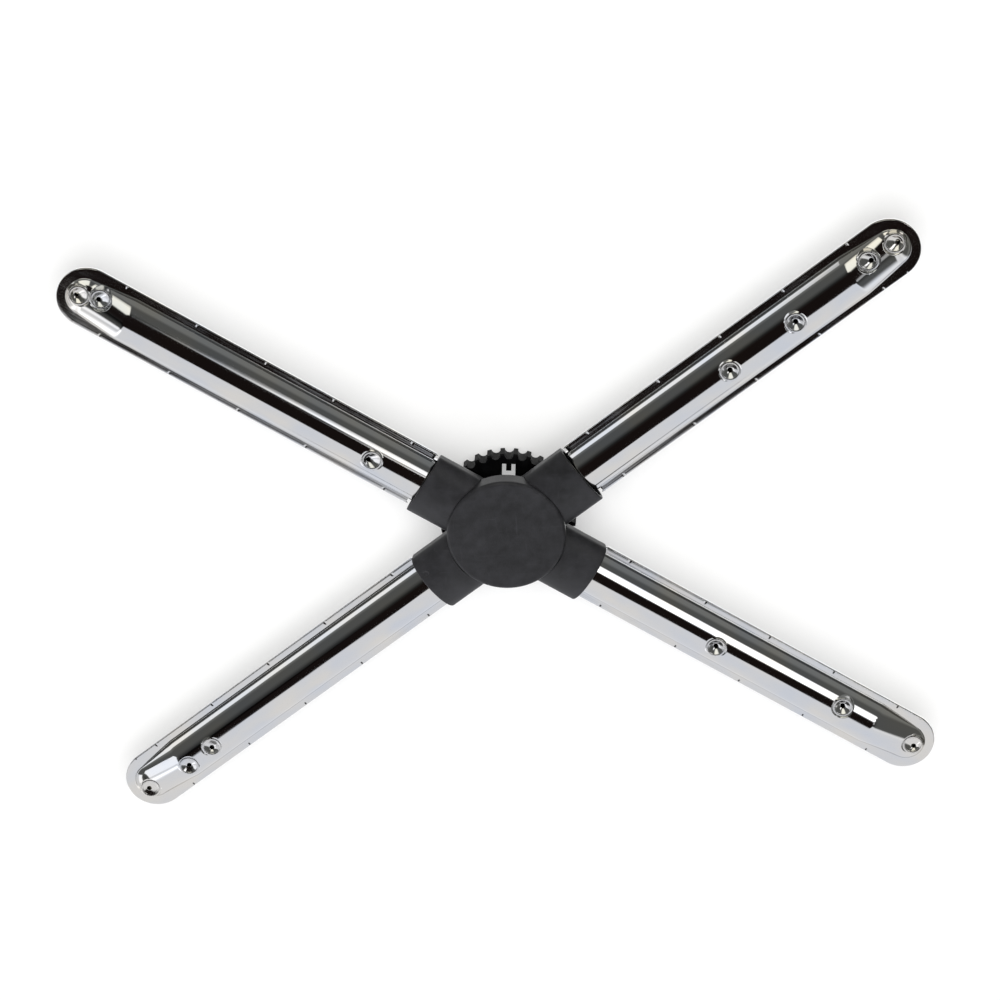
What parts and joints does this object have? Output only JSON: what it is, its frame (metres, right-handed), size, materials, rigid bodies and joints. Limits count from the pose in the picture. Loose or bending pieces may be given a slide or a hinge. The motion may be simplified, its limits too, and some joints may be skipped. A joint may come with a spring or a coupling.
{
  "type": "dishwasher wash arm",
  "caption": "Cross-shaped rotating spray arm: pressed steel arms with dimpled nozzles on a moulded plastic hub, held by a knurled union nut underneath.",
  "frame": {"origin": "on the spin axis, at the foot of the union nut", "axes": "+Z along the spin axis towards the spray side, +X along the longer side of the X made by the arms"},
  "size_m": [0.4152, 0.2998, 0.0302],
  "materials": {
    "polished_steel": "mirror polished stainless steel sheet",
    "hub_plastic": "moulded glass-filled plastic, dark grey, satin",
    "nut_plastic": "moulded plastic, black, satin",
    "journal_plastic": "moulded plastic, black",
    "bearing_plastic": "turned bearing plastic, natural white",
    "seal_rubber": "moulded rubber, black",
    "spring_steel": "rolled spring steel"
  },
  "bodies": {
    "journal": {"bearing_journal": "journal_plastic", "journal_collar": "journal_plastic", "foot_gasket": "seal_rubber", "thrust_washer_lower": "bearing_plastic", "thrust_washer_upper": "bearing_plastic", "retaining_ring": "spring_steel"},
    "rotor": {"arm_1_shell": "polished_steel", "arm_1_plate": "polished_steel", "arm_2_shell": "polished_steel", "arm_2_plate": "polished_steel", "arm_3_shell": "polished_steel", "arm_3_plate": "polished_steel", "arm_4_shell": "polished_steel", "arm_4_plate": "polished_steel", "arm_1_seal": "seal_rubber", "arm_2_seal": "seal_rubber", "arm_3_seal": "seal_rubber", "arm_4_seal": "seal_rubber", "hub_upper": "hub_plastic", "hub_lower": "hub_plastic", "hub_cap": "hub_plastic", "bearing_bush": "bearing_plastic"},
    "nut": {"union_nut": "nut_plastic"}
  },
  "joints": [
    {"name": "arm_spin", "type": "hinge", "parent": "journal", "child": "rotor", "pos_m": [0, 0, 0.016], "axis": [0, 0, 1], "continuous": true},
    {"name": "nut_turn", "type": "hinge", "parent": "journal", "child": "nut", "pos_m": [0, 0, 0.0072], "axis": [0, 0, 1], "continuous": true}
  ]
}
